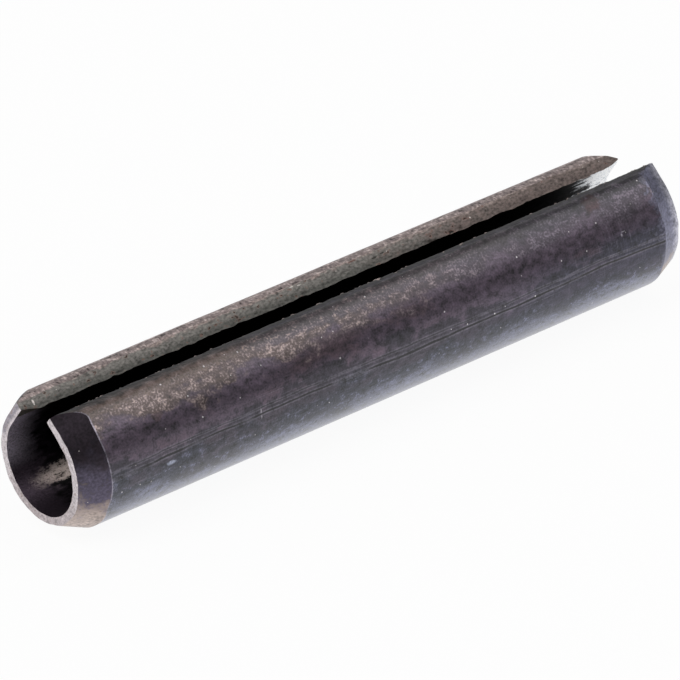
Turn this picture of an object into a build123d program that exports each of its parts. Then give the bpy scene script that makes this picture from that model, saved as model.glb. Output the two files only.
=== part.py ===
from build123d import *
import os
from math import acos, atan2, atan, cos, degrees, hypot, radians, sin

# Slotted spring pin, rolled from a strip of spring steel. Millimetres.
# The pin lies along X with its lengthwise slot facing up (+Z), and touches Z = 0 along its lowest line.

# ---- driving dimensions -------------------------------------------------------------------------------
pin_length = 55.0  # overall, end face to end face
arc_radius = 5.18  # outside of the rolled arc
wall = 1.53  # strip thickness
slot_gap = 2.8  # between the two strip edges, at the bore
lip_length = 2.0  # stretch beside the slot that the rolls leave straight
edge_roll_width = 1.3  # how far in from the slot the strip's outer edge is rounded over
edge_roll_depth = 0.75  # how far the outer edge drops where it meets the cut face
chamfer_length = 2.16  # end chamfer, along the pin
chamfer_depth = 0.91  # end chamfer, through the wall

# ---- what follows from them ---------------------------------------------------------------------------
bore_radius = arc_radius - wall
# The arc ends at this angle above the horizontal, where the flat lip sets off along the tangent and
# reaches the slot with its inner corner half a gap from the middle plane.
lip_angle = degrees(acos(slot_gap / 2 / hypot(bore_radius, lip_length)) - atan2(lip_length, bore_radius))
chamfer_angle = degrees(atan(chamfer_depth / chamfer_length))

outward = Vector(cos(radians(lip_angle)), sin(radians(lip_angle)))  # out through the wall at the lip
along = Vector(-outward.Y, outward.X)  # along the lip, towards the slot
axis_height = arc_radius
first_end = Plane(origin=(-pin_length / 2, 0, axis_height), x_dir=(0, 1, 0), z_dir=(1, 0, 0))
middle = Plane.YZ

# ---- end envelope: the outline's own shape, tapering towards each end --------------------------------
# The strip is bevelled flat before it is rolled, so the chamfer goes equally deep all along the wall,
# the flat lips included. The envelope's sides therefore follow the arc and the two lip tangents.
with BuildPart() as envelope:
    with BuildSketch(first_end):
        with BuildLine():
            end_radius = arc_radius - chamfer_depth
            rim = CenterArc((0, 0), end_radius, -180 - lip_angle, 180 + 2 * lip_angle)
            apex = (0, end_radius / sin(radians(lip_angle)))
            Line(rim @ 1, apex)
            Line(apex, rim @ 0)
        make_face()
    extrude(amount=pin_length / 2, taper=-chamfer_angle)
    mirror(about=middle)

# ---- spring pin: one C-shaped strip section, run the whole length ------------------------------------
with BuildPart() as spring_pin:
    with BuildSketch(first_end):
        with BuildLine():
            CenterArc((0, 0), arc_radius, -180 - lip_angle, 180 + 2 * lip_angle)
            CenterArc((0, 0), bore_radius, -180 - lip_angle, 180 + 2 * lip_angle)
            with BuildLine() as lip:
                roll_start = outward * arc_radius + along * (lip_length - edge_roll_width)
                roll_end = outward * (arc_radius - edge_roll_depth) + along * lip_length
                inner_corner = outward * bore_radius + along * lip_length
                Line(outward * arc_radius, roll_start)
                TangentArc(roll_start, roll_end, tangent=along)
                Line(roll_end, inner_corner)
                Line(inner_corner, outward * bore_radius)
                mirror(about=Plane.YZ)
        make_face()
    extrude(amount=pin_length)
    add(envelope.part, mode=Mode.INTERSECT)
spring_pin.part.label = "spring_pin"

os.makedirs("parts", exist_ok=True)
export_step(spring_pin.part, "parts/spring_pin.step")
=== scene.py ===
import logging
import math
from dataclasses import dataclass, field, replace
from enum import IntEnum

import bpy
import numpy as np
from bpy.types import Material, Mesh, Node, NodeSocket as Socket, NodeTree, Object
from mathutils import Matrix, Quaternion, Vector


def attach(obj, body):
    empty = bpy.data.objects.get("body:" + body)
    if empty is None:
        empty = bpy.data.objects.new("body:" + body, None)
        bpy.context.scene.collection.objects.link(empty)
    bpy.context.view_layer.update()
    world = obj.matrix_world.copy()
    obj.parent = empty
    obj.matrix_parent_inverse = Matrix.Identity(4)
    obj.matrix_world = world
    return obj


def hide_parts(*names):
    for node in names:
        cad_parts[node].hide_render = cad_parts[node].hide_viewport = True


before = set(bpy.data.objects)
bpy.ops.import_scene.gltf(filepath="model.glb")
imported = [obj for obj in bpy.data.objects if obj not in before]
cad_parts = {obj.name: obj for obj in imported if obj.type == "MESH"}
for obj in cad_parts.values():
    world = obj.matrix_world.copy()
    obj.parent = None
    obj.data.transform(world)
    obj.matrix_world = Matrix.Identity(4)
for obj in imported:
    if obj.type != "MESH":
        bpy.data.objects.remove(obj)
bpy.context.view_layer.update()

LOG = logging.getLogger("spring_pin")
MM = 0.001
NODE = "spring_pin"
BODY = "root"
STRIP_MAP = "strip_mm"  # the UV map: millimetres on the flat strip
BEVEL_MAP = "bevel_mm"  # the attribute: how far along the pin a point lies from the nearest bevel's edge

# The Mix node's sockets for colours, and the settings that several finishes share.
MIX_A, MIX_B, MIX_OUT = 6, 7, 2
MIXED = {"out": MIX_OUT, "data_type": "RGBA"}
MULTIPLIED = MIXED | {"blend_type": "MULTIPLY"}
EASED = {"interpolation_type": "SMOOTHSTEP"}

Array = np.ndarray


# ---- small helpers ----
def linear(hex_colour: str) -> tuple[float, float, float, float]:
    """Turn an sRGB hex colour into linear light.

    Args:
        hex_colour: six hex digits.

    Returns:
        (red, green, blue, 1), linear.
    """
    channels = [int(hex_colour[i : i + 2], 16) / 255 for i in (0, 2, 4)]
    return tuple(c / 12.92 if c <= 0.04045 else ((c + 0.055) / 1.055) ** 2.4 for c in channels) + (1.0,)


def add(tree: NodeTree, kind: str, inputs: dict | None = None, out: int | str = 0,
        **settings: object) -> Socket | None:
    """Add one shader node with its settings and links.

    Args:
        tree: the node tree that it goes in.
        kind: the node's type, without the ShaderNode prefix.
        inputs: a value or an output socket for each input, by name or by number.
        out: which output is handed back.
        settings: the node's own properties.

    Returns:
        That output of the new node, or None where it has no outputs.
    """
    node = tree.nodes.new("ShaderNode" + kind)
    for name, value in settings.items():
        setattr(node, name, value)
    for key, value in (inputs or {}).items():
        if isinstance(value, Socket):
            tree.links.new(value, node.inputs[key])
        else:
            node.inputs[key].default_value = value
    return node.outputs[out] if len(node.outputs) else None


def ease(x: Array) -> Array:
    """Ease from 0 to 1, flat at both ends."""
    x = np.clip(x, 0, 1)
    return x * x * (3 - 2 * x)


@dataclass(frozen=True)
class Fade:
    """Where along a value something comes in: the least of it at the start, the most at the end."""

    start: float
    end: float
    most: float = 1.0
    least: float = 0.0

    def at(self, value: Array) -> Array:
        """Give how much of it there is, eased, at each value."""
        return self.least + (self.most - self.least) * ease((value - self.start) / (self.end - self.start))

    def over(self, value: Socket) -> dict[int, Socket | float]:
        """Give the inputs of a map range that works it out from a material's own value."""
        return {0: value, 1: self.start, 2: self.end, 3: self.least, 4: self.most}


@dataclass(frozen=True)
class Lumps:
    """A soft random field: the most that it gives, its seed, and its lumps' size both ways in mm."""

    most: float
    seed: int
    first: float
    second: float = 1.0

    def at(self, u: Array, v: Array | float = 0.0, more: int = 0) -> Array:
        """Sample the field.

        Args:
            u: the first coordinate, in millimetres.
            v: the second, left out where the field changes along the first only.
            more: added to the seed for another face.

        Returns:
            Values from 0 to the most.
        """
        count = 256
        table = np.random.default_rng(self.seed + more).random((count, count))
        a, b = np.broadcast_arrays(u / self.first + count, v / self.second + count)
        row, col = np.floor(a).astype(int), np.floor(b).astype(int)
        fa, fb = ease(a - row), ease(b - col)
        row, col = row % count, col % count
        below, right = (row + 1) % count, (col + 1) % count
        top = table[row, col] * (1 - fb) + table[row, right] * fb
        bottom = table[below, col] * (1 - fb) + table[below, right] * fb
        return self.most * (top * (1 - fa) + bottom * fa)


# ---- the strip ----
class Side(IntEnum):
    """The faces of the strip, in the order of the piece's material slots."""

    SKIN = 0
    BEVEL = 1
    CUT = 2
    END = 3
    BORE = 4
    ROLL = 5


@dataclass(frozen=True)
class Strip:
    """The flat strip that the pin is rolled from, and how the rolls shape it. Millimetres."""

    length: float = 55.0
    radius: float = 5.18
    wall: float = 1.53
    lip: float = 2.0
    slot_gap: float = 2.8
    roll_width: float = 1.3
    roll_depth: float = 0.75
    bevel_length: float = 2.16
    bevel_depth: float = 0.91

    @property
    def lip_turn(self) -> float:
        """Work out where the arc ends and the straight lip starts.

        Returns:
            The angle round from the lowest line, in radians.
        """
        bore = self.radius - self.wall
        up = math.acos(self.slot_gap / 2 / math.hypot(bore, self.lip)) - math.atan2(self.lip, bore)
        return math.pi / 2 + up

    @property
    def arc(self) -> float:
        """Length of the arc on one side, measured on the outside."""
        return self.radius * self.lip_turn

    @property
    def half_width(self) -> float:
        """Half the strip's width, measured on its outside."""
        return self.arc + self.lip

    @property
    def slope(self) -> float:
        """How much a bevel falls for each millimetre along the pin."""
        return self.bevel_depth / self.bevel_length

    def rolled_edge(self, edge: Array) -> Array:
        """Say how far the rounded-over edge lies below the outside, at a distance from the cut face."""
        radius = (self.roll_width**2 + self.roll_depth**2) / (2 * self.roll_depth)
        return radius - np.sqrt(radius**2 - np.clip(self.roll_width - edge, 0, self.roll_width) ** 2)

    def place(self, s: Array, x: Array, depth: Array) -> Array:
        """Roll points of the strip into the pin.

        Args:
            s: distance from the strip's middle line, on its outside; the lip nearer the camera is minus.
            x: place along the pin.
            depth: how far below the outside.

        Returns:
            Points in the frame, in metres, with the coordinates last.
        """
        side, reach = np.sign(s), np.abs(s)
        turn = np.minimum(reach, self.arc) / self.radius
        past = np.maximum(reach - self.arc, 0)
        r = self.radius - depth
        y = side * (r * np.sin(turn) + past * np.cos(turn))
        z = self.radius - r * np.cos(turn) + past * np.sin(turn)
        return np.stack([x + 0 * y, y, z], -1) * MM


@dataclass(frozen=True)
class Wear:
    """Small faults that shearing, rolling, grinding and handling leave in the strip. Millimetres."""

    # The sheared cut faces.
    edge_nick: float = 0.06  # how far they wander
    nick_lumps: Lumps = Lumps(0.6, 71, 0.9, 3.0)
    nick_grain: Lumps = Lumps(0.4, 72, 0.22, 0.5)
    edge_pit: float = 0.1  # how deep single pits are
    pit_lumps: Lumps = Lumps(1.0, 73, 0.4, 0.34)
    pit_rim: Fade = Fade(0.84, 0.96)  # by that field's height
    edge_spur: float = 0.1  # how far single torn grains stand out
    spur_lumps: Lumps = Lumps(1.0, 74, 0.17)
    spur_rim: Fade = Fade(0.8, 0.95)
    spur_drop: float = 0.14  # how far below the rounded-over edge they lie
    spur_height: Fade = Fade(0.16, 0.0)  # how far up and down from there they reach
    break_back: float = 0.12  # how far the torn lower part leans back
    far_cut: int = 10  # added to those seeds for the far face
    near_face: Fade = Fade(0.45, 0.0)  # how far in from a cut or end face its faults are felt

    # The shearing burr: how far it hangs below the bore side, as an even and two ragged shares of that.
    burr: float = 0.34
    burr_even: float = 0.72
    burr_waves: Lumps = Lumps(0.35, 51, 0.7)
    burr_teeth: Lumps = Lumps(0.16, 52, 0.2)
    burr_reach: float = 0.5
    burr_hollow: float = 1.4  # how hollow its flank is
    burr_start: Fade = Fade(0.0, 1.5)  # how it grows from the pin's ends

    # The skin.
    roll_wander: Lumps = Lumps(0.05, 63, 1.3)  # unevenness of the rounded-over edges
    skin_dent: Lumps = Lumps(0.006, 61, 0.8, 1.6)  # handling marks
    line_depth: float = 0.014  # the drawn line that runs the pin's length
    line_width: float = 0.1
    line_place: float = -8.0  # where it lies on the strip
    line_even: float = 0.35  # the share of its depth that is always there
    line_rest: Lumps = Lumps(0.65, 47, 3.5)

    # The end faces and the bevels.
    end_dent: float = 0.05  # unevenness of the end faces
    end_lumps: Lumps = Lumps(1.0, 91, 0.5, 0.3)
    far_end: int = 4  # added to that seed for the far face
    bevel_wander: float = 0.1  # unevenness of the bevels' depth
    bevel_lumps: Lumps = Lumps(1.0, 31, 1.1)
    shallow_far_bevel: float = 0.09  # how much less the far end's bevel bites, away from the far lip
    deep_lip_cut: float = 0.52  # how much deeper it bites at the far lip
    deep_lip: Fade = Fade(2.8, 0.0)  # how far in from that lip's edge this is felt
    steep_lip_cut: float = 0.25  # share by which that deeper bite is shorter than its slope asks
    lip_end_back: Fade = Fade(1.2, 0.0, 0.35)  # how far that lip's end stands back
    lip_barrel: Fade = Fade(2.5, 0.0)  # how far in from its edge the bevels are barrelled
    near_lip_barrel: float = 0.6  # how barrelled the near end's bevel is there
    far_lip_barrel: float = 0.3  # and the far end's
    flat_lip_roll: float = -0.1  # share by which the near lip's edge is less rounded, at the far end
    full_lip_roll: float = 0.3  # share by which the far lip's edge is more rounded, at both ends
    roll_fade: float = 6.0  # how far along the pin those two are felt
    least_run: float = 0.05  # how long a bevel is at least
    least_end: float = 0.03  # what it leaves of the wall at least
    least_wall: float = 0.01  # and what all the wear does

    def cut_face(self, x: Array, drop: Array, more: int) -> Array:
        """Say how far a cut face stands back from its flat.

        Args:
            x: place along the pin.
            drop: how far down the wall, from the rounded-over edge.
            more: added to the seeds for this face.

        Returns:
            The distance back, minus where a grain stands out.
        """
        wander = self.nick_lumps.at(x, drop, more) + self.nick_grain.at(x, drop, more)
        pits = self.pit_rim.at(self.pit_lumps.at(x, drop, more))
        spurs = self.spur_rim.at(self.spur_lumps.at(x, more=more))
        spurs = spurs * self.spur_height.at(np.abs(drop - self.spur_drop))
        torn = self.break_back * np.clip(drop, 0, 1) ** 2
        return self.edge_nick * wander + self.edge_pit * pits + torn - self.edge_spur * spurs

    def burr_at(self, edge: Array, from_end: Array, x: Array) -> Array:
        """Say how far the shearing burr hangs below the bore side.

        Args:
            edge: distance from the cut face.
            from_end: distance from the nearer end of the pin.
            x: place along the pin.

        Returns:
            How much lower than the bore side it is.
        """
        ragged = self.burr_even + self.burr_waves.at(x) + self.burr_teeth.at(x)
        flank = np.clip(1 - edge / self.burr_reach, 0, 1) ** self.burr_hollow
        return self.burr * ragged * flank * self.burr_start.at(from_end)

    def bevel_depth(self, s: Array, far_end: bool, strip: Strip) -> Array:
        """Say how deep an end's bevel is at the end face.

        Args:
            s: places across the strip.
            far_end: which end.
            strip: the plain strip.

        Returns:
            The depth at each place.
        """
        depth = strip.bevel_depth + self.bevel_wander * (self.bevel_lumps.at(s, more=far_end) - 0.5)
        if far_end:
            lip = self.deep_lip.at(strip.half_width - s)
            depth = depth - self.shallow_far_bevel * (1 - lip) + self.deep_lip_cut * lip
        return np.minimum(depth, strip.wall - self.least_end)

    def bevel_run(self, s: Array, far_end: bool, strip: Strip) -> Array:
        """Say how far along the pin an end's bevel reaches.

        Args:
            s: places across the strip.
            far_end: which end.
            strip: the plain strip.

        Returns:
            The bevel's length at each place.
        """
        x = np.full_like(s, strip.length / 2 if far_end else -strip.length / 2)
        rolled = strip.rolled_edge(strip.half_width - np.abs(s)) * self.roll_share(s, x, strip)
        run = np.maximum((self.bevel_depth(s, far_end, strip) - rolled) / strip.slope, self.least_run)
        return run * (1 - self.steep_lip_cut * self.deep_lip.at(strip.half_width - s) * far_end)

    def roll_share(self, s: Array, x: Array, strip: Strip) -> Array:
        """Say how rounded-over an edge is along the pin.

        Args:
            s: place across the strip, which says which lip.
            x: place along the pin.
            strip: the plain strip.

        Returns:
            The share of the plain form's rounding.
        """
        from_near, from_far = x + strip.length / 2, strip.length / 2 - x
        flat = self.flat_lip_roll * np.exp(-from_far / self.roll_fade) * (s < 0)
        both_ends = np.exp(-from_near / self.roll_fade) + np.exp(-from_far / self.roll_fade)
        full = self.full_lip_roll * both_ends * (s > 0)
        return 1 + flat + full

    def drawn_line(self, s: Array, x: Array) -> Array:
        """Say how deep the drawn line is, at places across the strip and along the pin."""
        across = np.clip(1 - np.abs(s - self.line_place) / self.line_width, 0, 1)
        return self.line_depth * across * (self.line_even + self.line_rest.at(x))


@dataclass(frozen=True)
class Knots:
    """Where the strip's lattice lines lie: close together where the form turns or the eye rests."""

    # Distances from the cut face, in millimetres.
    edge_steps: tuple[float, ...] = (
        0, 0.035, 0.08, 0.14, 0.21, 0.3, 0.4, 0.52, 0.66, 0.82, 0.98, 1.14, 1.3
    )
    across: int = 62
    near_roll: int = 6  # how many of those steps have the rolled-over edge's own finish, on each lip
    far_roll: int = 12
    line_steps: tuple[float, ...] = (-0.18, -0.09, 0.0, 0.09, 0.18)  # distances from the drawn line
    line_clear: float = 0.02  # how far plain lines keep off those, in radii
    bevel: int = 16
    along: int = 420
    down: int = 11

    def s_values(self, strip: Strip, wear: Wear) -> Array:
        """Place the lines across the strip.

        Args:
            strip: the plain strip.
            wear: its faults, which say where the drawn line is.

        Returns:
            The places, from the near lip to the far one.
        """
        edge = strip.half_width - np.array(self.edge_steps)
        middle = np.linspace(-edge[-1], edge[-1], self.across + 2)[1:-1]
        line = wear.line_place + np.array(self.line_steps)
        clear = middle[np.min(np.abs(middle[:, None] - line), axis=1) > strip.radius * self.line_clear]
        return np.sort(np.concatenate([-edge, clear, line, edge]))


@dataclass
class SpringPin:
    """The one piece: spring steel strip rolled into a C with an open slot."""

    strip: Strip = field(default_factory=Strip)
    wear: Wear = field(default_factory=Wear)
    knots: Knots = field(default_factory=Knots)
    name: str = "spring_pin_skin"

    def lines_along(self, s: Array) -> tuple[Array, Array, Array, Array]:
        """Place the lattice's cross lines so that they follow the bevels' edges.

        Args:
            s: the lines' places across the strip.

        Returns:
            The place along the pin of every crossing, how far into the near and into the far bevel each
            line is, and how far along the pin each crossing is from the nearest bevel's edge.
        """
        strip, wear, knots = self.strip, self.wear, self.knots
        half = strip.length / 2
        out, across = np.linspace(0, 1, knots.bevel + 1), np.linspace(0, 1, knots.along + 1)
        near_run, far_run = wear.bevel_run(s, False, strip), wear.bevel_run(s, True, strip)
        back = wear.lip_end_back.at(strip.half_width - s)
        start, stop = -half + near_run, half - back - far_run
        near_x = -half + near_run[:, None] * out[:-1]
        far_x = half - back[:, None] - far_run[:, None] * out[::-1][1:]
        middle_x = start[:, None] + (stop - start)[:, None] * across
        x = np.concatenate([near_x, middle_x, far_x], 1)
        from_bevel = np.minimum(x - start[:, None], stop[:, None] - x)
        still = np.zeros(knots.along + 1 + knots.bevel)
        return x, np.append(1 - out[:-1], still), np.append(still, out[1:]), from_bevel

    def lattice(self) -> tuple[Array, Array, Array, Array]:
        """Lay out the worn strip.

        Returns:
            The strip coordinates s, x and depth of every lattice point, and how far it is from the nearest
            bevel's edge, each indexed by line across, line along and step down the wall.
        """
        strip, wear, knots = self.strip, self.wear, self.knots
        half = strip.length / 2
        lines = knots.s_values(strip, wear)
        x, near, far, from_bevel = self.lines_along(lines)
        s = np.broadcast_to(lines[:, None], x.shape)
        edge = strip.half_width - np.abs(s)
        top = strip.rolled_edge(edge) * wear.roll_share(s, x, strip)
        barrel = wear.lip_barrel.at(strip.half_width - lines)[:, None]
        near = near ** (1 + wear.near_lip_barrel * barrel)
        far = far ** (1 + wear.far_lip_barrel * barrel)
        top = top + (wear.bevel_depth(lines, False, strip)[:, None] - top) * near
        top = top + (wear.bevel_depth(lines, True, strip)[:, None] - top) * far
        top = top + wear.drawn_line(s, x) + wear.skin_dent.at(s, x)
        top = top + wear.roll_wander.at(x) * ease(1 - edge / strip.roll_width)
        top = np.minimum(top, strip.wall - wear.least_wall)
        low = strip.wall + wear.burr_at(edge, half - np.abs(x), x)
        depth = top[:, :, None] + (low - top)[:, :, None] * np.linspace(0, 1, knots.down + 1)
        x3, s3, from_bevel = (np.repeat(flat[:, :, None], depth.shape[2], 2) for flat in (x, s, from_bevel))
        for side, row, more in ((-1, 0, 0), (1, -1, wear.far_cut)):
            back = wear.cut_face(x3[row], depth[row] - strip.roll_depth, more)
            s3 = s3 - side * back[None] * wear.near_face.at(strip.half_width - side * s3)
        for side, row, more in ((-1, 0, 0), (1, -1, wear.far_end)):
            back = wear.end_dent * wear.end_lumps.at(s3[:, row], depth[:, row], more) ** 2
            x3 = x3 - side * back[:, None] * wear.near_face.at(half - side * x3)
        return s3, x3, depth, from_bevel

    def build(self) -> Object:
        """Make the pin's closed mesh, with its strip map and crisp edges.

        Returns:
            The new object, linked to the scene.
        """
        s, x, depth, from_bevel = self.lattice()
        shell = np.zeros(s.shape, bool)
        shell[[0, -1]] = shell[:, [0, -1]] = shell[:, :, [0, -1]] = True
        ids = np.full(s.shape, -1)
        ids[shell] = np.arange(shell.sum())
        bevel, near_roll, far_roll = self.knots.bevel, self.knots.near_roll, self.knots.far_roll
        skin = slice(bevel, ids.shape[1] - bevel)
        # For each sheet of the shell: whether it is wound the other way, its side, and what its map shows.
        sheets = (
            (ids[near_roll:-far_roll, skin, 0], False, Side.SKIN, (s, x)),
            (ids[: near_roll + 1, skin, 0], False, Side.ROLL, (s, x)),
            (ids[-far_roll - 1 :, skin, 0], False, Side.ROLL, (s, x)),
            (ids[:, : bevel + 1, 0], False, Side.BEVEL, (s, x)),
            (ids[:, -bevel - 1 :, 0], False, Side.BEVEL, (s, x)),
            (ids[:, :, -1], True, Side.BORE, (s, x)),
            (ids[0], True, Side.CUT, (depth, x)),
            (ids[-1], False, Side.CUT, (depth, x)),
            (ids[:, 0], True, Side.END, (s, depth)),
            (ids[:, -1], False, Side.END, (s, depth)),
        )
        faces, kinds, maps = [], [], []
        for sheet, flip, side, (u, v) in sheets:
            quads = np.stack([sheet[:-1, :-1], sheet[1:, :-1], sheet[1:, 1:], sheet[:-1, 1:]], -1)
            quads = quads.reshape(-1, 4)[:, ::-1] if flip else quads.reshape(-1, 4)
            faces.append(quads)
            kinds.append(np.full(len(quads), int(side)))
            maps.append(np.stack([u[shell][quads], v[shell][quads]], -1).reshape(-1, 2))
        mesh = bpy.data.meshes.new(self.name)
        mesh.from_pydata(self.strip.place(s, x, depth)[shell].tolist(), [], np.vstack(faces).tolist())
        mesh.polygons.foreach_set("material_index", np.concatenate(kinds).astype(np.int32))
        mesh.polygons.foreach_set("use_smooth", np.ones(len(mesh.polygons), bool))
        strip_map = mesh.uv_layers.new(name=STRIP_MAP)
        strip_map.data.foreach_set("uv", np.vstack(maps).astype(np.float32).ravel())
        far_off = mesh.attributes.new(BEVEL_MAP, "FLOAT", "POINT")
        far_off.data.foreach_set("value", from_bevel[shell].astype(np.float32))
        self.crease(mesh, np.concatenate(kinds))
        pin = bpy.data.objects.new(self.name, mesh)
        bpy.context.scene.collection.objects.link(pin)
        return pin

    @staticmethod
    def crease(mesh: Mesh, kinds: Array) -> None:
        """Mark the edges where two kinds of face meet as sharp, apart from where the skin rolls over.

        Args:
            mesh: the pin's mesh, all of quads.
            kinds: the kind of each face.
        """
        corners = np.empty(len(mesh.loops), np.int32)
        mesh.loops.foreach_get("edge_index", corners)
        corner_kind = np.repeat(np.where(kinds == Side.ROLL, Side.SKIN, kinds), 4)
        low = np.full(len(mesh.edges), len(Side))
        high = np.full(len(mesh.edges), -1)
        np.minimum.at(low, corners, corner_kind)
        np.maximum.at(high, corners, corner_kind)
        sharp = mesh.attributes.new("sharp_edge", "BOOLEAN", "EDGE")
        sharp.data.foreach_set("value", low != high)

    def dress(self, pin: Object) -> None:
        """Give each kind of face its finish.

        Args:
            pin: the built piece.
        """
        finishes = {
            Side.SKIN: BlackenedSkin(),
            Side.BEVEL: BlackenedBevel(),
            Side.CUT: ShearedFace(),
            Side.END: BareEnd(),
            Side.BORE: BoreFilm(),
            Side.ROLL: RolledEdge(),
        }
        for side in Side:
            pin.data.materials.append(finishes[side].material(self.strip))


# ---- finishes ----
# Places are millimetres on the strip: across it from its middle line, minus on the near lip's side, and
# along it from its middle, minus towards the near end. The real grain of the oxide and of the torn and
# sawn steel, a few hundredths of a millimetre, is too fine to show: each is drawn as coarse as it needs.
@dataclass(frozen=True)
class Tint:
    """A colour, and where along a value it comes in: none of it at the start, the most at the end."""

    colour: str
    start: float = 0.0
    end: float = 1.0
    most: float = 1.0

    def times(self, size: float) -> "Tint":
        """Give the same tint for a value that is so many times larger."""
        return replace(self, start=self.start * size, end=self.end * size)


@dataclass(frozen=True)
class Metal:
    """What lies under a finish's colours: the metal, its grain both ways and high in mm, and its oil."""

    name: str
    metallic: float
    roughness: float
    grain: tuple[float, float]
    grain_height: float
    oil: float = 0.0
    oil_roughness: float = 0.0


@dataclass(frozen=True)
class Mark:
    """One mark on a strip face: its place and half its size both ways in mm, its colour and strength."""

    s: float
    x: float
    wide: float
    long: float
    colour: str
    strength: float = 0.8


@dataclass(frozen=True)
class Ground:
    """What every finish starts from: a metal's shader, where a point is on the strip, and its patterns."""

    metal: Metal
    material: Material
    tree: NodeTree
    shader: Node
    strip: Socket  # both strip coordinates, in millimetres
    across: Socket  # the first of them
    along: Socket  # the second
    patterns: dict[str, Socket]

    @classmethod
    def lay(cls, metal: Metal, lumps: dict[str, tuple[float, float]]) -> "Ground":
        """Start a finish.

        Args:
            metal: what lies under its colours.
            lumps: for each random pattern but the grain, its lumps' size along both strip coordinates.

        Returns:
            The started finish. Its patterns swing about 0.2 to each side of 0.
        """
        apart = 7.3  # how far apart in the noise the patterns are taken, in lumps
        material = bpy.data.materials.new(metal.name)
        material.use_nodes = True
        tree = material.node_tree
        shader = tree.nodes["Principled BSDF"]
        shader.inputs["Metallic"].default_value = metal.metallic
        shader.inputs["Roughness"].default_value = metal.roughness
        if metal.oil:
            shader.inputs["Coat Weight"].default_value = metal.oil
            shader.inputs["Coat Roughness"].default_value = metal.oil_roughness
        strip = add(tree, "UVMap", uv_map=STRIP_MAP)
        across = add(tree, "SeparateXYZ", {0: strip})
        patterns = {}
        for number, (key, (wide, long)) in enumerate(({"grain": metal.grain} | lumps).items()):
            inputs = {0: strip, 1: (1 / wide, 1 / long, 0), 2: (number * apart,) * 3}
            place = add(tree, "VectorMath", inputs, operation="MULTIPLY_ADD")
            inputs = {"Vector": place, "Scale": 1.0, "Detail": 3.0}
            noise = add(tree, "TexNoise", inputs, noise_dimensions="2D")
            patterns[key] = add(tree, "Math", {0: noise, 1: 0.5}, operation="SUBTRACT")
        return cls(metal, material, tree, shader, strip, across, across.node.outputs[1], patterns)

    def reach(self) -> Socket:
        """Give the distance from the strip's middle line, the lowest line of the pin."""
        return add(self.tree, "Math", {0: self.across}, operation="ABSOLUTE")

    def swayed(self, value: Socket | float, **swings: float) -> Socket:
        """Add patterns to a value.

        Args:
            value: the value, such as a place in millimetres.
            swings: how much of each pattern is added.

        Returns:
            The uneven value.
        """
        for key, swing in swings.items():
            inputs = {0: self.patterns[key], 1: swing, 2: value}
            value = add(self.tree, "Math", inputs, operation="MULTIPLY_ADD")
        return value

    def tinted(self, under: Socket | tuple[float, ...], layers: tuple) -> Socket:
        """Lay colours over each other.

        Args:
            under: the colour underneath.
            layers: for each colour, the value that it goes by and its tint, and, where how much of it there
                is at most is uneven too, the socket that says so.

        Returns:
            The colour on top.
        """
        for value, tint, *most in layers:
            inputs = {0: value, 1: tint.start, 2: tint.end, 4: most[0] if most else tint.most}
            share = add(self.tree, "MapRange", inputs, **EASED)
            under = add(self.tree, "Mix", {0: share, MIX_A: under, MIX_B: linear(tint.colour)}, **MIXED)
        return under

    def specks(self, spacing: float, size: float, rare: float) -> Socket:
        """Scatter single round specks.

        Args:
            spacing: about how far apart they could be, in millimetres.
            size: how wide the largest is.
            rare: share of the places that stay empty.

        Returns:
            1 in a speck, 0 elsewhere.
        """
        inputs = {"Vector": self.strip, "Scale": 1 / spacing}
        away = add(self.tree, "TexVoronoi", inputs, "Distance", voronoi_dimensions="2D")
        draw = add(self.tree, "SeparateColor", {0: away.node.outputs["Color"]})
        radius = add(self.tree, "MapRange", {0: draw, 1: rare, 2: 1.0, 3: 0.0, 4: size / 2 / spacing})
        return add(self.tree, "Math", {0: radius, 1: away}, operation="GREATER_THAN")

    def marked(self, under: Socket, marks: tuple[Mark, ...], ragged: float) -> Socket:
        """Lay single marks over a colour.

        Args:
            under: the colour underneath.
            marks: the marks.
            ragged: how uneven their outlines are.

        Returns:
            The marked colour.
        """
        outline, whole = 1.1, 0.6  # in half sizes from a mark's middle
        for mark in marks:
            scale = (1 / mark.wide, 1 / mark.long, 0)
            shift = (-mark.s / mark.wide, -mark.x / mark.long, 0)
            inputs = {0: self.strip, 1: scale, 2: shift}
            from_middle = add(self.tree, "VectorMath", inputs, operation="MULTIPLY_ADD")
            away = add(self.tree, "VectorMath", {0: from_middle}, "Value", operation="LENGTH")
            tint = Tint(mark.colour, outline, whole, mark.strength)
            under = self.tinted(under, ((self.swayed(away, blotch=ragged), tint),))
        return under

    def finish(self, tint: Socket, shades: dict[str, float], coated: bool = False) -> Material:
        """Shade the colour with the patterns, add the grain's relief and link both to the shader.

        Args:
            tint: the colour.
            shades: how strongly each pattern lightens and darkens the colour.
            coated: whether the relief shows in the coat too.

        Returns:
            The finished material.
        """
        light = self.swayed(1.0, **shades)
        tint = add(self.tree, "Mix", {0: 1.0, MIX_A: tint, MIX_B: light}, **MULTIPLIED)
        height = self.metal.grain_height * MM
        inputs = {"Height": self.patterns["grain"], "Distance": height, "Strength": 1.0}
        relief = add(self.tree, "Bump", inputs)
        self.tree.links.new(tint, self.shader.inputs["Base Color"])
        self.tree.links.new(relief, self.shader.inputs["Normal"])
        if coated:
            self.tree.links.new(relief, self.shader.inputs["Coat Normal"])
        return self.material


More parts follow.
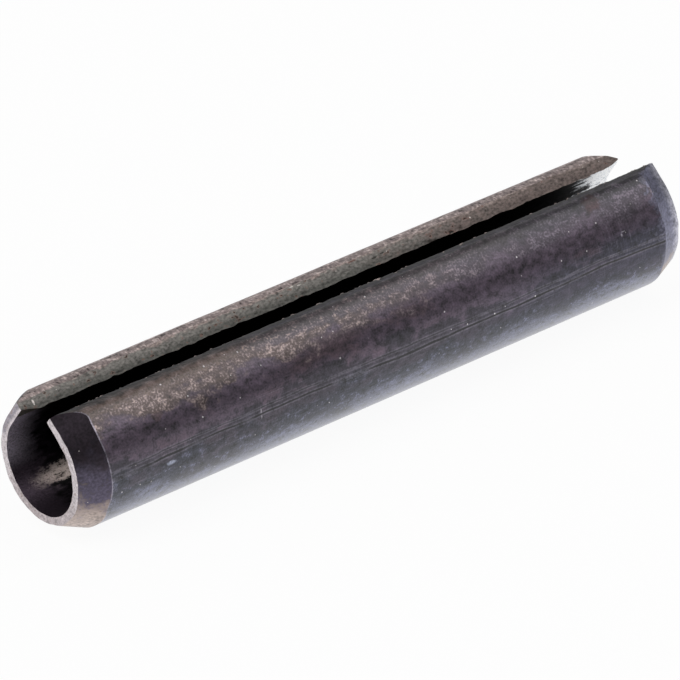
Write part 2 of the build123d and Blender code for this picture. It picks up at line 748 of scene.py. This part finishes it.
@dataclass(frozen=True)
class BlackenedSkin:
    """Cold-rolled spring steel, black oxide over it, oiled and handled: a dark, uneven, half-dull sheen.

    The oxide is worn to a speckled brown along the slot, purple black on the side and blue grey below. A
    painted darker band on the side stands in for a dark reflection, the underside is lightened as a painted
    reflection of the floor, and the near lip's rolled edge is painted near black as shade. A double line
    that the rolls drew runs the length of the near side, with painted shade in its groove and a painted
    highlight on its shoulders.
    """

    metal: Metal = Metal(
        "blackened_rolled_spring_steel", 1.0, 0.38, (0.16, 0.16), 0.009, oil=0.9, oil_roughness=0.3
    )
    slot_roughness: float = 0.75  # where the rolled edge is torn

    purple: str = "564a58"
    # Painted shade: a darker band on the side that stands in for the dark it reflects.
    painted_dark_band: Tint = Tint("3c3742", 9.5, 8.5)
    blue: Tint = Tint("383a46", 8.2, 6.6)
    far_low: Tint = Tint("2e2e40", 4.0, 24.0)
    # Blue grey oxide, lightened on the underside as a painted reflection of the floor.
    blue_and_floor_reflection: Tint = Tint("6f7288", 6.4, 4.4)
    red: Tint = Tint("4a3638", 0.02, 0.2)
    low_light: Tint = Tint("70728a", 0.05, 0.3)
    low_dark: Tint = Tint("22222a", -0.05, -0.3)
    worn_far: Tint = Tint("3a323c")
    worn_near: Tint = Tint("504340")
    far_lip: Tint = Tint("6b5d5f", 11.2, 12.2)
    slot_near: Tint = Tint("7c6b64", -12.4, -13.0)
    near_slot: Tint = Tint("4a444d", most=0.8)
    far_slot: Tint = Tint("37323b", 2.0, 18.0)
    far_speckle: Tint = Tint("58505a", -0.05, 0.4)
    speckle: Tint = Tint("84756f", 0.0, 0.4)
    # Painted shade: near black along the near lip's rolled edge, in place of the dark that this edge
    # reflects.
    painted_edge_shade: Tint = Tint("201d22", -13.05, -13.6, 0.9)
    scratch: Tint = Tint("8e8c9a", 0.16, 0.26)
    ring: Tint = Tint("8e8c9a", 0.1, 0.25)  # scratches round the pin
    near_seam: Tint = Tint("8e8896", 0.15, 0.05)  # where a bevel starts
    far_seam: Tint = Tint("6e6d82", 0.45, 0.1)
    pit: Tint = Tint("1c191d", most=0.55)
    fleck: Tint = Tint("e4e0e2", most=0.7)

    # The drawn lines: their places, half widths and darkness, and two colours that go by half widths: a
    # painted highlight on the groove's shoulders and painted shade in the groove.
    lines: tuple[tuple[float, float, float], ...] = ((-8.02, 0.06, 0.95), (-8.5, 0.04, 0.6))
    painted_line_highlight: Tint = Tint("7c7884", 4.0, 2.0, 0.3)
    painted_line_shade: Tint = Tint("141216", 1.6, 0.8)
    marks: tuple[Mark, ...] = (
        Mark(-7.35, -20.05, 0.2, 0.42, "9aa0b4"),  # a pale smear
        Mark(-10.94, -20.35, 0.45, 0.5, "5a4844", 0.5),  # a brown stain
        Mark(-8.18, -12.07, 0.45, 0.07, "a49fa8", 0.7),  # a hooked knock
        Mark(-8.05, -11.6, 0.07, 0.5, "8f8a94", 0.6),
        Mark(-12.75, 20.4, 0.7, 0.9, "45282a", 0.6),  # a red stain
        Mark(-9.78, 21.6, 0.16, 0.09, "b0acb6", 0.8),  # a second hooked knock
        Mark(-9.95, 21.75, 0.05, 0.22, "b0acb6", 0.8),
    )
    ragged: float = 1.6

    def material(self, strip: Strip) -> Material:
        """Build the material.

        Args:
            strip: the plain strip; not used.

        Returns:
            The new material.
        """
        g = Ground.lay(self.metal, {
            "blotch": (0.5, 0.7),
            "patch": (1.8, 4.0),
            "drift": (5.0, 14.0),
            "scratch": (0.07, 6.0),
            "ring": (5.0, 0.14),
        })
        tree = g.tree
        reach = g.reach()
        place = g.swayed(reach, patch=5.0, blotch=1.6)
        worn = add(tree, "MapRange", Fade(10.6, 12.2).over(place), **EASED)
        far_on = g.swayed(g.along, patch=12.0)
        near_share = add(tree, "MapRange", Fade(18.0, -12.0).over(far_on), **EASED)
        worn_near = add(tree, "Math", {0: worn, 1: near_share}, operation="MULTIPLY")
        low = add(tree, "MapRange", Fade(10.6, 9.0, 0.85).over(reach), **EASED)
        lowest = add(tree, "MapRange", Fade(8.2, 6.6, 0.6).over(place), **EASED)
        reddish = add(tree, "MapRange", Fade(8.0, 10.2, 0.5, 0.1).over(reach))
        mottle = g.swayed(g.patterns["grain"], blotch=0.9, patch=0.35)
        cloudy = g.swayed(g.patterns["blotch"], grain=0.5)
        tint = g.tinted(linear(self.purple), (
            (place, self.painted_dark_band),
            (place, self.blue),
            (far_on, self.far_low, low),
            (place, self.blue_and_floor_reflection),
            (g.swayed(g.patterns["drift"], patch=0.6, blotch=0.3), self.red, reddish),
            (cloudy, self.low_light, lowest),
            (cloudy, self.low_dark, lowest),
            (worn, self.worn_far),
            (worn_near, self.worn_near),
        ))
        slot_side = Fade(-11.9, -12.7).over(g.swayed(g.across, blotch=1.6))
        slot_side = add(tree, "MapRange", slot_side, **EASED)
        past_start = add(tree, "MapRange", Fade(-16.0, -6.0).over(far_on), **EASED)
        past_start = add(tree, "Math", {0: slot_side, 1: past_start}, operation="MULTIPLY")
        tint = g.tinted(tint, (
            (g.across, self.far_lip),
            (g.swayed(g.across, blotch=1.6), self.slot_near),
            (past_start, self.near_slot),
            (far_on, self.far_slot, slot_side),
            (mottle, self.far_speckle, worn),
            (mottle, self.speckle, worn_near),
            # Painted shade on the near rolled edge.
            (g.swayed(g.across, blotch=0.5), self.painted_edge_shade),
        ))
        clear_low = add(tree, "MapRange", Fade(10.5, 8.8, 0.3).over(reach), **EASED)
        far_end = add(tree, "MapRange", Fade(6.0, 22.0, 0.14).over(g.along), **EASED)
        near_half = add(tree, "MapRange", Fade(0.0, -1.0, 0.75).over(g.along))
        far_half = add(tree, "MapRange", Fade(0.0, 1.0, 0.7).over(g.along))
        from_bevel = add(tree, "Attribute", out="Fac", attribute_name=BEVEL_MAP)
        tint = g.tinted(tint, (
            (g.patterns["scratch"], self.scratch, clear_low),
            (g.patterns["ring"], self.ring, far_end),
            (from_bevel, self.near_seam, near_half),
            (g.swayed(from_bevel, blotch=2.0, patch=2.0), self.far_seam, far_half),
        ))
        tint = g.marked(tint, self.marks, self.ragged)
        # Each drawn line gets a painted highlight on its shoulders and painted shade in its groove.
        for middle, width, dark in self.lines:
            swayed = g.swayed(g.across, drift=0.9, patch=0.15)
            off = add(tree, "Math", {0: swayed, 1: middle}, operation="SUBTRACT")
            off = add(tree, "Math", {0: off}, operation="ABSOLUTE")
            broken = add(tree, "MapRange", Fade(-0.16, 0.0, dark).over(g.patterns["patch"]), **EASED)
            rim, core = self.painted_line_highlight.times(width), self.painted_line_shade.times(width)
            tint = g.tinted(tint, ((off, rim), (off, core, broken)))
        tint = g.tinted(tint, (
            (g.specks(spacing=1.3, size=0.15, rare=0.55), self.pit),
            (g.specks(spacing=1.6, size=0.14, rare=0.58), self.fleck),
        ))
        torn = add(tree, "MapRange", Fade(-12.4, -13.0).over(g.across), **EASED)
        rough = add(tree, "MapRange", {0: torn, 3: self.metal.roughness, 4: self.slot_roughness})
        rough = g.swayed(rough, blotch=0.25)
        tree.links.new(rough, g.shader.inputs["Roughness"])
        shades = {"grain": 1.5, "blotch": 2.0, "patch": 0.8, "scratch": 0.25}
        return g.finish(tint, shades, coated=True)


@dataclass(frozen=True)
class BlackenedBevel:
    """Ground bevel, blackened with the rest: near black above, rubbed to tan where the pin has slid."""

    metal: Metal = Metal(
        "blackened_ground_bevel", 1.0, 0.42, (0.2, 0.2), 0.006, oil=0.4, oil_roughness=0.35
    )
    dark: str = "2f272f"
    side: Tint = Tint("524c5d", 11.0, 7.8)
    far_side: Tint = Tint("74748a", -5.0, 5.0)
    rubbed: Tint = Tint("b8a79f", 7.2, 4.2)
    far_rim: str = "b4b3c0"
    rim_width: float = 1.0  # how far from the end face that starts, and is whole
    rim_whole: float = 0.1
    fleck: Tint = Tint("e6dfda", most=0.5)

    def material(self, strip: Strip) -> Material:
        """Build the material.

        Args:
            strip: the plain strip.

        Returns:
            The new material.
        """
        g = Ground.lay(self.metal, {
            "blotch": (0.6, 0.6),
            "patch": (1.6, 1.6),
        })
        reach = g.reach()
        place = g.swayed(reach, patch=5.0, blotch=2.5)
        rubbed = g.swayed(reach, patch=4.0, blotch=3.5, grain=3.0)
        end = strip.length / 2
        tint = g.tinted(linear(self.dark), (
            (place, self.side),
            (g.along, self.far_side),
            (rubbed, self.rubbed),
            (g.swayed(g.along, blotch=0.8), Tint(self.far_rim, end - self.rim_width, end - self.rim_whole)),
            (g.specks(spacing=0.9, size=0.1, rare=0.75), self.fleck),
        ))
        return g.finish(tint, {"grain": 1.5, "blotch": 1.0, "patch": 0.6})


@dataclass(frozen=True)
class ShearedFace:
    """Sheared strip edge: torn grey metal, dull with oxide, brown along its upper, burnished part."""

    metal: Metal = Metal("sheared_spring_steel_edge", 0.7, 0.55, (0.17, 0.272), 0.015)
    grey: str = "777470"
    shade: str = "5a5955"
    shade_drop: float = 0.5  # how far below the rounded-over edge that starts
    shade_past: float = 0.15  # and how far below the bore side it is whole
    burnished: str = "a3948f"
    burnish_drop: float = 0.26
    brown: Tint = Tint("6f625e", 2.0, 16.0, 0.85)
    rust: Tint = Tint("6b4a40", 0.2, 0.26, 0.55)
    pit: Tint = Tint("2c2826", 0.27, 0.31)
    fleck: Tint = Tint("cfc8c4", most=0.7)
    marks: tuple[Mark, ...] = (
        Mark(1.4, -26.3, 0.2, 0.07, "e2dad6"),  # a bright nick
        Mark(0.92, -3.1, 0.05, 0.3, "d8d2cc", 0.6),  # two pale scuffs
        Mark(1.0, -2.4, 0.05, 0.25, "d8d2cc", 0.6),
        Mark(0.9, 2.4, 0.09, 0.45, "5e3832", 0.8),  # rust, and two dark tears
        Mark(1.3, 4.2, 0.08, 0.3, "262422", 0.8),
        Mark(1.2, 5.0, 0.07, 0.25, "262422", 0.8),
    )
    ragged: float = 2.5

    def material(self, strip: Strip) -> Material:
        """Build the material.

        Args:
            strip: the plain strip.

        Returns:
            The new material.
        """
        g = Ground.lay(self.metal, {
            "blotch": (0.4, 0.7),
            "patch": (1.5, 3.0),
        })
        top = strip.roll_depth
        down = g.swayed(g.across, blotch=0.8, patch=0.6)
        far_on = g.swayed(g.along, patch=14.0, blotch=8.0)
        pits = g.swayed(g.patterns["blotch"], patch=0.6, grain=0.3)
        tint = g.tinted(linear(self.grey), (
            (down, Tint(self.shade, top + self.shade_drop, strip.wall + self.shade_past)),
            (far_on, self.brown),
            (down, Tint(self.burnished, top + self.burnish_drop, top)),
            (pits, self.rust),
            (pits, self.pit),
            (g.specks(spacing=1.3, size=0.12, rare=0.7), self.fleck),
        ))
        tint = g.marked(tint, self.marks, self.ragged)
        return g.finish(tint, {"grain": 1.8, "blotch": 1.1, "patch": 0.6})


@dataclass(frozen=True)
class RolledEdge:
    """Rolled-over edge of the strip, its oxide torn: dry, painted near black as shade by the slot, brown on
    the far lip.
    """

    metal: Metal = Metal(
        "torn_rolled_over_steel_edge", 0.8, 0.6, (0.2, 0.2), 0.012, oil=0.35, oil_roughness=0.6
    )
    near: str = "524846"
    far_on: Tint = Tint("443f4a", -16.0, -8.0)
    # Painted shade: near black along the near lip's rolled edge, in place of the dark that this edge
    # reflects.
    black: str = "141216"
    black_width: float = 0.5  # how far in from the near cut face that starts, and is whole
    black_whole: float = 0.16
    black_most: float = 0.95
    brown: Tint = Tint("8e807e")
    rubbed: Tint = Tint("b6a9a5", 0.0, 0.35)
    pit: Tint = Tint("4c3e3e", -0.08, -0.3)

    def material(self, strip: Strip) -> Material:
        """Build the material.

        Args:
            strip: the plain strip.

        Returns:
            The new material.
        """
        g = Ground.lay(self.metal, {
            "blotch": (0.3, 0.8),
            "patch": (1.0, 3.0),
        })
        far_lip = add(g.tree, "MapRange", Fade(-1.0, 1.0).over(g.across))
        edge = strip.half_width
        black = Tint(self.black, self.black_width - edge, self.black_whole - edge, self.black_most)
        tint = g.tinted(linear(self.near), (
            (g.along, self.far_on),
            # Painted shade by the slot.
            (g.swayed(g.across, blotch=0.3), black),
            (far_lip, self.brown),
            (g.swayed(g.patterns["blotch"], grain=0.8), self.rubbed, far_lip),
            (g.swayed(g.patterns["blotch"], grain=0.6), self.pit, far_lip),
        ))
        return g.finish(tint, {"grain": 1.4, "blotch": 1.0, "patch": 0.8})


@dataclass(frozen=True)
class BareEnd:
    """Sawn and barrelled end face, rubbed bare: pale steel, duller where it stood on the wheel."""

    metal: Metal = Metal("bare_sawn_steel_end", 0.9, 0.4, (0.14, 0.14), 0.012)
    pale: str = "cec6c9"
    dull: Tint = Tint("bcb2b4", 6.5, 4.5)
    far_lip: Tint = Tint("a19aa3")
    rim: tuple[float, float] = (1.2, 1.42)  # the depths where that lip's pale inner rim starts, is whole
    brown: Tint = Tint("8a7d7b", 0.1, 0.26, 0.8)

    def material(self, strip: Strip) -> Material:
        """Build the material.

        Args:
            strip: the plain strip; not used.

        Returns:
            The new material.
        """
        g = Ground.lay(self.metal, {
            "blotch": (0.45, 0.3),
            "patch": (1.6, 0.8),
        })
        reach = g.reach()
        place = g.swayed(g.across, patch=4.0, blotch=3.0)
        lip_share = add(g.tree, "MapRange", Fade(8.8, 10.4).over(place), **EASED)
        tint = g.tinted(linear(self.pale), (
            (g.swayed(reach, patch=6.0, blotch=4.0), self.dull),
            (lip_share, self.far_lip),
            (g.along, Tint(self.pale, *self.rim), lip_share),
            (g.swayed(g.patterns["blotch"], patch=0.8), self.brown),
        ))
        return g.finish(tint, {"grain": 0.8, "blotch": 1.3})


@dataclass(frozen=True)
class BoreFilm:
    """Inside of the roll: black oxide with dried oil, painted near black in the middle, partly for the
    oxide and partly as shade, with painted light and a painted highlight inside the near end and bare metal
    at the far end.
    """

    metal: Metal = Metal("blackened_oiled_bore", 0.9, 0.45, (0.17, 0.17), 0.01)
    # Near black: partly the oxide, partly painted shade deep in the roll.
    black: str = "0a090a"

    # Inside the near end, painted light: lighter towards the mouth where light falls in, a painted glow on
    # the far side, and a painted highlight with bright flecks where the bore reflects the far opening.
    painted_mouth_light: Tint = Tint("463c46", -23.5, -26.5)
    # Painted light on the far wall inside the near end.
    glow: Tint = Tint("e4d8ea", -24.6, -27.2)
    painted_highlight: Tint = Tint("c2b3ac", -20.5, -23.0)
    highlight_place: float = 4.2  # where on the strip it runs in from the end
    fleck: Tint = Tint("e0d8d0", -21.5, -22.5)

    # Inside the far end: bare metal, brightest under the far lip, where it reaches further in.
    half_bare: Tint = Tint("74767a", 24.9, 27.1)
    bare: Tint = Tint("f8fbff", 24.9, 26.4)

    # Under both lips, beside the cut faces.
    lip: str = "8a827c"
    lip_width: float = 1.15
    lip_blur: float = 0.03

    def material(self, strip: Strip) -> Material:
        """Build the material.

        Args:
            strip: the plain strip.

        Returns:
            The new material.
        """
        g = Ground.lay(self.metal, {
            "blotch": (0.5, 0.9),
            "flame": (0.5, 4.0),
        })
        tree = g.tree
        # The painted highlight: where the bore reflects the light of its far opening.
        off = add(tree, "Math", {0: g.across, 1: self.highlight_place}, operation="SUBTRACT")
        off = g.swayed(add(tree, "Math", {0: off}, operation="ABSOLUTE"), blotch=3.0, grain=2.0)
        painted_highlight = add(tree, "MapRange", Fade(1.15, 0.0).over(off), **EASED)
        inside = Fade(-27.0, -24.0).over(g.swayed(g.along, blotch=2.0, grain=2.0))
        inside = add(tree, "MapRange", inside, **EASED)
        painted_highlight = add(tree, "Math", {0: painted_highlight, 1: inside}, operation="MULTIPLY")
        specks = g.specks(spacing=0.55, size=0.12, rare=0.6)
        flecked_highlight = add(tree, "Math", {0: painted_highlight, 1: specks}, operation="MULTIPLY")
        inward = g.swayed(g.along, blotch=5.0)
        painted_light_side = add(tree, "MapRange", Fade(5.8, 8.6).over(g.across), **EASED)
        edge = g.swayed(g.reach(), grain=0.3)
        bare_side = add(tree, "MapRange", Fade(7.5, 10.5).over(g.across), **EASED)
        further = add(tree, "MapRange", Fade(10.5, 13.5, 2.0).over(g.across))
        far_on = add(tree, "Math", {0: g.along, 1: further})
        far_on = g.swayed(far_on, flame=4.0, blotch=2.0, grain=1.0)
        lip_start = strip.half_width - self.lip_width
        tint = g.tinted(linear(self.black), (
            (inward, self.painted_mouth_light),
            (g.swayed(g.along, blotch=1.5), self.glow, painted_light_side),
            (inward, self.painted_highlight, painted_highlight),
            (inward, self.fleck, flecked_highlight),
            (edge, Tint(self.lip, lip_start - self.lip_blur, lip_start + self.lip_blur)),
            (far_on, self.half_bare),
            (far_on, self.bare, bare_side),
        ))
        return g.finish(tint, {"grain": 1.4, "blotch": 0.6})


# ---- studio ----
def outward(azimuth: float, elevation: float) -> Vector:
    """Give the direction to a compass angle and a height, both in degrees."""
    az, el = math.radians(azimuth), math.radians(elevation)
    return Vector((math.cos(el) * math.cos(az), math.cos(el) * math.sin(az), math.sin(el)))


@dataclass(frozen=True)
class Softbox:
    """One soft lamp that faces the pin. Degrees, metres and watts."""

    name: str
    azimuth: float
    elevation: float
    distance: float
    width: float
    height: float
    power: float

    def build(self, target: Vector) -> None:
        """Hang the lamp.

        Args:
            target: the point that it faces.
        """
        lamp = bpy.data.lights.new(self.name, "AREA")
        lamp.shape = "RECTANGLE"
        lamp.size, lamp.size_y, lamp.energy = self.width, self.height, self.power
        way = outward(self.azimuth, self.elevation)
        holder = bpy.data.objects.new(self.name, lamp)
        holder.location = target + way * self.distance
        holder.rotation_euler = way.to_track_quat("Z", "Y").to_euler()
        bpy.context.scene.collection.objects.link(holder)


@dataclass(frozen=True)
class Camera:
    """Where the camera stands: round its target, in degrees and millimetres."""

    azimuth: float = -127.544
    elevation: float = 24.793
    roll: float = -5.305
    distance: float = 532.67
    target: tuple[float, float, float] = (-0.515, 0.251, 4.932)
    focal_length: float = 401.12
    sensor: float = 36.0
    clip: tuple[float, float] = (0.01, 10.0)  # what it sees from and to, in metres

    def build(self) -> None:
        """Stand the camera at its place."""
        lens = bpy.data.cameras.new("camera")
        lens.lens, lens.sensor_width = self.focal_length, self.sensor
        lens.clip_start, lens.clip_end = self.clip
        camera = bpy.data.objects.new("camera", lens)
        way = outward(self.azimuth, self.elevation)
        turn = way.to_track_quat("Z", "Y") @ Quaternion((0, 0, 1), math.radians(self.roll))
        place = (Vector(self.target) + way * self.distance) * MM
        camera.matrix_world = Matrix.Translation(place) @ turn.to_matrix().to_4x4()
        bpy.context.scene.collection.objects.link(camera)
        bpy.context.scene.camera = camera


@dataclass
class Studio:
    """Plain pale floor, soft light and the camera. Metres."""

    floor_half: float = 2.0
    floor_drop: float = 0.02 * MM  # keeps the floor clear of the pin's lowest line
    glow_share: float = 0.94  # the white's share where it is seen
    card: str = "f4f4f4"
    glow: str = "ffffff"
    world_grey: float = 0.3
    aim: float = 5 * MM  # how high the softboxes aim
    softboxes: tuple[Softbox, ...] = (
        Softbox("key_softbox", -44.0, 49.0, 0.9, 0.9, 0.5, 2.4),
        Softbox("rim_softbox", 50.0, 26.0, 0.9, 0.7, 0.45, 1.1),
        Softbox("top_softbox", 170.0, 62.0, 0.9, 0.7, 0.7, 3.6),
    )

    def build(self) -> None:
        """Make the floor, the light and the camera."""
        self.floor()
        world = bpy.data.worlds.new("grey_room")
        bpy.context.scene.world = world
        world.use_nodes = True
        world.node_tree.nodes["Background"].inputs["Color"].default_value = (self.world_grey,) * 3 + (1.0,)
        for softbox in self.softboxes:
            softbox.build(Vector((0, 0, self.aim)))
        Camera().build()
        bpy.context.scene.view_settings.view_transform = "Standard"

    def floor(self) -> None:
        """Lay the floor: white to the eye and in the metal, while it still takes the pin's shadow."""
        side, low = self.floor_half, -self.floor_drop
        corners = [(-side, -side, low), (side, -side, low), (side, side, low), (-side, side, low)]
        mesh = bpy.data.meshes.new("floor")
        mesh.from_pydata(corners, [], [(0, 1, 2, 3)])
        floor = bpy.data.objects.new("floor", mesh)
        bpy.context.scene.collection.objects.link(floor)
        material = bpy.data.materials.new("matt_white_card")
        material.use_nodes = True
        mesh.materials.append(material)
        tree = material.node_tree
        tree.nodes.clear()
        seen = add(tree, "LightPath", out="Is Camera Ray")
        for ray in ("Is Glossy Ray", "Is Transmission Ray"):
            seen = add(tree, "Math", {0: seen, 1: add(tree, "LightPath", out=ray)}, operation="MAXIMUM")
        share = add(tree, "Math", {0: seen, 1: self.glow_share}, operation="MULTIPLY")
        card = add(tree, "BsdfDiffuse", {"Color": linear(self.card)})
        glow = add(tree, "Emission", {"Color": linear(self.glow), "Strength": 1.0})
        both = add(tree, "MixShader", {0: share, 1: card, 2: glow})
        add(tree, "OutputMaterial", {"Surface": both})


def main() -> None:
    """Build the pin and the studio."""
    logging.basicConfig(level=logging.INFO, format="%(name)s: %(message)s")
    spring_pin = SpringPin()
    pin = spring_pin.build()
    spring_pin.dress(pin)
    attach(pin, BODY)
    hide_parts(NODE)
    LOG.info("%s: %d faces, one solid rolled strip", pin.name, len(pin.data.polygons))
    Studio().build()


if __name__ == "__main__":
    main()
